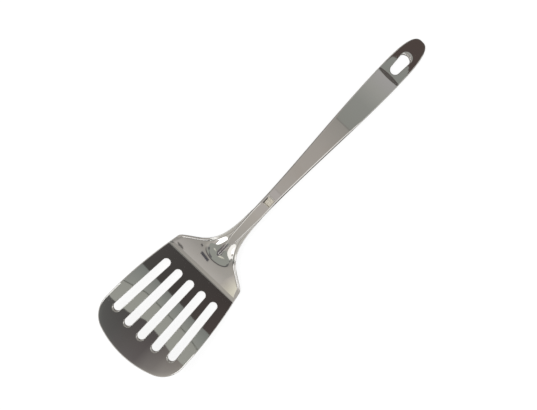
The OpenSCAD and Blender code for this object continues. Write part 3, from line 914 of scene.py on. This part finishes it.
def satinSteel():
    look = satinLook
    material, tree = newMaterial("satinStainlessSteel")
    place = addNode(tree, "ShaderNodeTexCoord", output="Object")
    streaks = grain(tree, place, look["streaks"], 3.0)
    film = handlingFilm(tree, place, look)
    colour = layered(tree, look["steel"], (film, look["film"]))
    rough = weighted(tree, look["roughness"], (film, look["filmRoughness"]),
                     (streaks, look["streakRoughness"]))
    height = addNode(tree, "ShaderNodeMath", {"operation": "MULTIPLY", 0: streaks, 1: look["streakHeight"]})
    finishSteel(tree, colour, rough, height)
    return material


polished = polishedSteel()
satin = satinSteel()

bladeSheet = buildBlade(slotOutlines(polished))
print("blade built:", len(bladeSheet.data.polygons), "faces")
handleFrontFace = buildHandleFront()
shellMesh = runTree(sheetTree(), {**sheetSizes, "Material": polished}, "sheetThickness",
                    handleFrontFace.data)
bpy.data.objects.remove(handleFrontFace)
shellMesh.name = "handleFrontShell"
handleFrontShell = placeObject("handleFrontShell", shellMesh)
print("front shell built:", len(handleFrontShell.data.polygons), "faces")
handleBackPlate = buildHandleBack()
print("back plate built:", len(handleBackPlate.data.polygons), "faces")

for piece, node, slot, material in (
        (bladeSheet, "blade", "polished_steel", polished),
        (handleFrontShell, "handle_front", "polished_steel", polished),
        (handleBackPlate, "handle_back", "satin_steel", satin)):
    piece.data.materials.clear()
    piece.data.materials.append(material)
    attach(piece, "root")
    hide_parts(node)


view = {
    "lookAt": (-2.8, -1.63, 3.0), "distance": 680, "leanX": 8.0, "leanY": 2.0,
    "axisAngle": 46.22,          # degrees from level to the turner's axis in the picture
    "focalPixels": 832.6, "frameWidth": 537.0,
}


def makeCamera():
    toCamera = Vector((tanDeg(view["leanX"]), tanDeg(view["leanY"]), 1)).normalized()
    place = Vector(view["lookAt"]) + view["distance"] * toCamera
    axis = Vector((1, 0, 0))
    axis = (axis - axis.dot(toCamera) * toCamera).normalized()
    across = toCamera.cross(axis)
    turn = math.radians(view["axisAngle"])
    right = math.cos(turn) * axis - math.sin(turn) * across
    up = math.sin(turn) * axis + math.cos(turn) * across
    data = bpy.data.cameras.new("camera")
    data.sensor_width = 36
    data.lens = view["focalPixels"] / view["frameWidth"] * data.sensor_width
    data.clip_start, data.clip_end = 0.01, 50
    camera = placeObject("camera", data)
    basis = Matrix((right, up, toCamera)).transposed().to_4x4()
    camera.matrix_world = Matrix.Translation(place * mm) @ basis
    bpy.context.scene.camera = camera


def seenRays(tree):
    # 1 for what the camera sees straight, in a reflection or through glass
    path = addNode(tree, "ShaderNodeLightPath").node.outputs
    seen = path["Is Camera Ray"]
    for rays in ("Is Glossy Ray", "Is Transmission Ray"):
        seen = addNode(tree, "ShaderNodeMath", {"operation": "MAXIMUM", 0: seen, 1: path[rays]})
    return seen


roomLook = {
    "light": 0.75,                                 # strength of the light from all round
    "seen": 1.0,                                   # what the camera and reflections see of it
    "table": "#6E6E6E", "tableSeen": 0.86, "tableSize": 6000,
}


def makeWorld():
    world = bpy.data.worlds.new("studioWorld")
    bpy.context.scene.world = world
    world.use_nodes = True
    tree = world.node_tree
    tree.nodes.clear()
    white = hexLinear("#FFFFFF")
    lit = addNode(tree, "ShaderNodeBackground", {"Color": white, "Strength": roomLook["light"]})
    seen = addNode(tree, "ShaderNodeBackground", {"Color": white, "Strength": roomLook["seen"]})
    mixed = addNode(tree, "ShaderNodeMixShader", {0: seenRays(tree), 1: lit, 2: seen})
    addNode(tree, "ShaderNodeOutputWorld", {"Surface": mixed})


def stageMesh(name, points, faces):
    mesh = bpy.data.meshes.new(name)
    mesh.from_pydata([tuple(c * mm for c in point) for point in points], [], faces)
    prop = placeObject(name, mesh)
    return prop


def makeFloor():
    reach = roomLook["tableSize"] / 2
    corners = [(-reach, -reach, 0), (reach, -reach, 0), (reach, reach, 0), (-reach, reach, 0)]
    floor = stageMesh("floor", corners, [(0, 1, 2, 3)])
    material, tree = newMaterial("whiteTable")
    matte = addNode(tree, "ShaderNodeBsdfDiffuse", {"Color": hexLinear(roomLook["table"])})
    strength = addNode(tree, "ShaderNodeMath", {
        "operation": "MULTIPLY", 0: seenRays(tree), 1: roomLook["tableSeen"]})
    glow = addNode(tree, "ShaderNodeEmission", {"Color": hexLinear("#FFFFFF"), "Strength": strength})
    added = addNode(tree, "ShaderNodeAddShader", {0: matte, 1: glow})
    addNode(tree, "ShaderNodeOutputMaterial", {"Surface": added})
    floor.data.materials.append(material)


# Boards round the turner that only reflections see. Each has a height and its strips. A strip runs over
# lines of places (X, Y) or (X, Y, Z), and the hues given for a line are spread evenly along it.
# The hues are as they look in the steel.
boardHeight = 250
lowerHeight, softHeight = boardHeight - 1, boardHeight - 2
acrossY = (-150, -66, -41, -20, 1, 21, 37, 48, 72)


def line(*xs):
    return list(zip(xs, acrossY))


def atX(x, *ys):
    return [(x, y) for y in ys]


def post(x, y):
    return [(x, y, 0), (x, y, boardHeight + 1)]


def panel(ys, *stops):  # a strip between two Y values; a stop is an X value and its hues
    return [(atX(x, *ys), hues) for x, hues in stops]


def wall(y, *stops):  # an upright strip, its hues running up from the table
    return [(post(x, y), hues) for x, hues in stops]


def card(xs, ys, hues):  # a panel with the same hues at both ends
    return panel(ys, *((x, hues) for x in xs))


tipLine = atX(-108, *acrossY)
bandLine = line(-54, -54, -52.3, -47.8, -45.4, -51.8, -53, -53.3, -53.3)
seamLine = line(-33, -31.6, -26.3, -25.5, -24.3, -23.6, -27.5, -30.5, -31)
seamEnd = [(x + 1.3, y) for x, y in seamLine]
heelLine = line(-9.3, -9.3, -9.2, -6.8, -5.8, -4.3, -3.2, -2.4, -2)
heelEnd = atX(38, *acrossY)
softWhite, cardWhite = "#FFFFFF", "#F4F3F0"

boards = {
    "overhead": (boardHeight, [
        panel((-150, 150), (-300, "#A8A39E"), (-175, "#B0ACA6 #A6A2A0"), (-135, "#A8A49C #7C7A78"),
              (38, "#9C9793 #A09C98")),
        panel((-125, 2000), (38, "#A8A39D"), (77.4, "#A7A2A0")),
        card((77.4, 78.4), (-125, 2000), "#989390"),
        panel((-125, 2000), (78.4, "#A29D98"), (138, "#9C9792"), (173, "#8E8B86")),
        card((173, 174.4), (-150, 2000), "#7C7A76"),
        panel((-150, 2000), (174.4, "#848580"), (202, "#878884"), (220, "#949490"), (238, "#9C9A9A")),
        panel((-150, 2000), (238, "#80827E"), (300, "#8A8B87"))]),
    "gripLine": (boardHeight, [panel((-150, -125), (38, "#A09B96"), (173, "#8A8783"))]),
    "sideLow": (lowerHeight, [
        panel((-420, -98), (60, "#F6F4F2"), (176, "#EEECEA")),
        panel((-420, -150), (176, "#8C8C88"), (420, "#7C7A78"))]),
    "shoulderLow": (boardHeight, [
        card((-500, -80), (-900, -76), "#A29E99"), card((-80, 60), (-900, -132), "#B4B0AC")]),
    "shoulderHigh": (boardHeight, [
        card((-500, -80), (72, 900), "#A29E99"), card((-80, 400), (130, 900), "#A29E99")]),
    "postLow": (0, [
        wall(-420, (40, "#4A4846 #5A5856"), (140, "#4A4846 #5A5856")),
        wall(-420, (140, "#5A5856"), (165, "#DAD8D4"), (700, "#C8C6C2"))]),
    "postHigh": (0, [
        wall(900, (-500, "#7A7774 #8A8784"), (130, "#7A7774 #8A8784")),
        wall(900, (130, "#8A8784"), (190, "#D8D6D2"), (700, "#D8D6D2"))]),
    "postEnd": (0, [[(post(420, -700), "#565351"), (post(420, 900), "#565351")]]),
    "softBoxLow": (softHeight, [
        [(atX(-82, -132, -74), softWhite), (atX(-36, -132, -68), softWhite)]]),
    "softBoxHigh": (softHeight, [
        [(atX(-84, 92, 130), softWhite), (atX(-58, 62, 130), softWhite), (atX(-34, 52, 130), softWhite)]]),
    "stripes": (lowerHeight, [
        [(tipLine, "#C0BCB6 #666161 #5C5C5B #6E6F6D"), (bandLine, "#96918B #4F4A4A #4A4948 #545452")],
        [(bandLine, "#94958F"), (seamLine, "#90918B")],
        [(seamLine, "#646560"), (seamEnd, "#646560")],
        [(seamEnd, "#8A8C87"), (heelLine, "#767976")],
        [(heelLine, "#4C4341 #403D3B #4A4947"), (heelEnd, "#3C3634 #3E3B3A #474544")]]),
    "darkEnd": (lowerHeight, [[
        ([(255, -300), (255.5, -33), (255, -25), (254, 6), (256.5, 14), (255.5, 24), (248, 300)],
         "#4B423F"),
        (atX(420, -300, -33, -25, 6, 14, 24, 300), "#4F4744")]]),
    "creamCard": (lowerHeight, [[
        (atX(-178, -72, -52, -34), "#C2BEB0 #C6C2B3 #A6A19D"),
        (atX(-160, -72, -54, -36), "#DAD7CB #D6D2C3 #A6A19D"),
        (atX(-144, -72, -56, -40), "#B4B0A8 #A8A49E #A6A19D")]]),
    "neckCard": (40, [
        panel((-5.6, 3.4), (4.4, "#8E908A"), (17, "#8A8C87")),
        panel((-5.6, 3.4), (17, "#9A9792"), (64, "#A7A29C")),
        panel((-13, -5.6), (25, "#B4B2AC"), (64, "#A8A5A0")),
        panel((3.4, 11), (25, "#B4B2AC"), (64, "#A8A5A0")),
        card((25, 82), (-34, -13), cardWhite), card((25, 74), (11, 32), cardWhite)]),
    "patchCard": (39.5, [
        [(atX(8, 1.6, 6), cardWhite), (atX(17, 1.9, 6), cardWhite), (atX(26, 3.4, 11), cardWhite)]]),
    "beakCard": (16, [
        [(atX(16.8, -0.7, 0.3), "#5E5A5E"), (atX(19.2, -1.7, 1.3), "#5E5A5E"),
         (atX(28.5, -0.4, 0.2), "#6A6468")]]),
    "glintCard": (39, [card((10.2, 11.6), (-1.75, -1.15), "#C8C6BA")]),
    "markLow": (lowerHeight, [[(atX(-172.5, 24, 33), "#5C5A58"), (atX(-169.3, 28, 37), "#5C5A58")]]),
    "markMiddle": (lowerHeight, [
        [([(-161.4, -6), (-159, 7)], "#45444A"), ([(-157.4, -6), (-155, 7)], "#45444A")]]),
    "markDot": (lowerHeight, [
        [([(-151, 10.5), (-150, 14)], "#565454"), ([(-148.4, 10.5), (-147.4, 14)], "#565454")]]),
    "markScoop": (39, [card((5.2, 6.7), (0.0, 1.6), "#605E60")]),
    "underCard": (0.4, [card((-330, 330), (-200, 200), "#787572")]),
}
boardGlow = {"plain": 1.5, "soft": 2.4}


def spread(hues, count):
    # Colours in linear RGBA at count places, blended evenly between the given ones
    given = np.array([hexLinear(hue) for hue in hues.split()])
    at = np.linspace(0, len(given) - 1, count)
    return np.column_stack([np.interp(at, np.arange(len(given)), given[:, k]) for k in range(4)])


def makeBoard(name, height, strips, glow):
    points, faces, colours = [], [], []
    for strip in strips:
        for (lineA, huesA), (lineB, huesB) in zip(strip, strip[1:]):
            first, n = len(points), len(lineA)
            points += [(x + profile["lieShift"], y, z[0] if z else height) for x, y, *z in lineA + lineB]
            colours += [spread(huesA, n), spread(huesB, n)]
            faces += [(first + i, first + i + 1, first + n + i + 1, first + n + i) for i in range(n - 1)]
    board = stageMesh(name, points, faces)
    hues = board.data.color_attributes.new("hue", "FLOAT_COLOR", "POINT")
    hues.data.foreach_set("color", np.concatenate(colours).ravel())
    material, tree = newMaterial(name + "Glow")
    hue = addNode(tree, "ShaderNodeVertexColor", {"layer_name": "hue"})
    light = addNode(tree, "ShaderNodeEmission", {"Color": hue, "Strength": glow})
    addNode(tree, "ShaderNodeOutputMaterial", {"Surface": light})
    board.data.materials.append(material)
    for rays in ("camera", "diffuse", "shadow", "transmission"):
        setattr(board, "visible_" + rays, False)


lamps = {
    "softLampLeft": {"place": (-500, 700, 900), "size": 900, "power": 9},
    "softLampRight": {"place": (700, -500, 900), "size": 700, "power": 4},
}


def makeLamp(name, place, size, power):
    data = bpy.data.lights.new(name, "AREA")
    data.shape = "RECTANGLE"
    data.size = data.size_y = size * mm
    data.energy = power
    lamp = placeObject(name, data)
    spot = Vector(place) * mm
    lamp.location = spot
    lamp.rotation_mode = "QUATERNION"
    lamp.rotation_quaternion = (-spot).to_track_quat("-Z", "Y")
    lamp.visible_glossy = False


makeCamera()
makeWorld()
makeFloor()
for name, (height, strips) in boards.items():
    makeBoard(name, height, strips, boardGlow["soft" if name.startswith("softBox") else "plain"])
for name, settings in lamps.items():
    makeLamp(name, **settings)
bpy.context.scene.view_settings.view_transform = "Standard"
print("studio built")
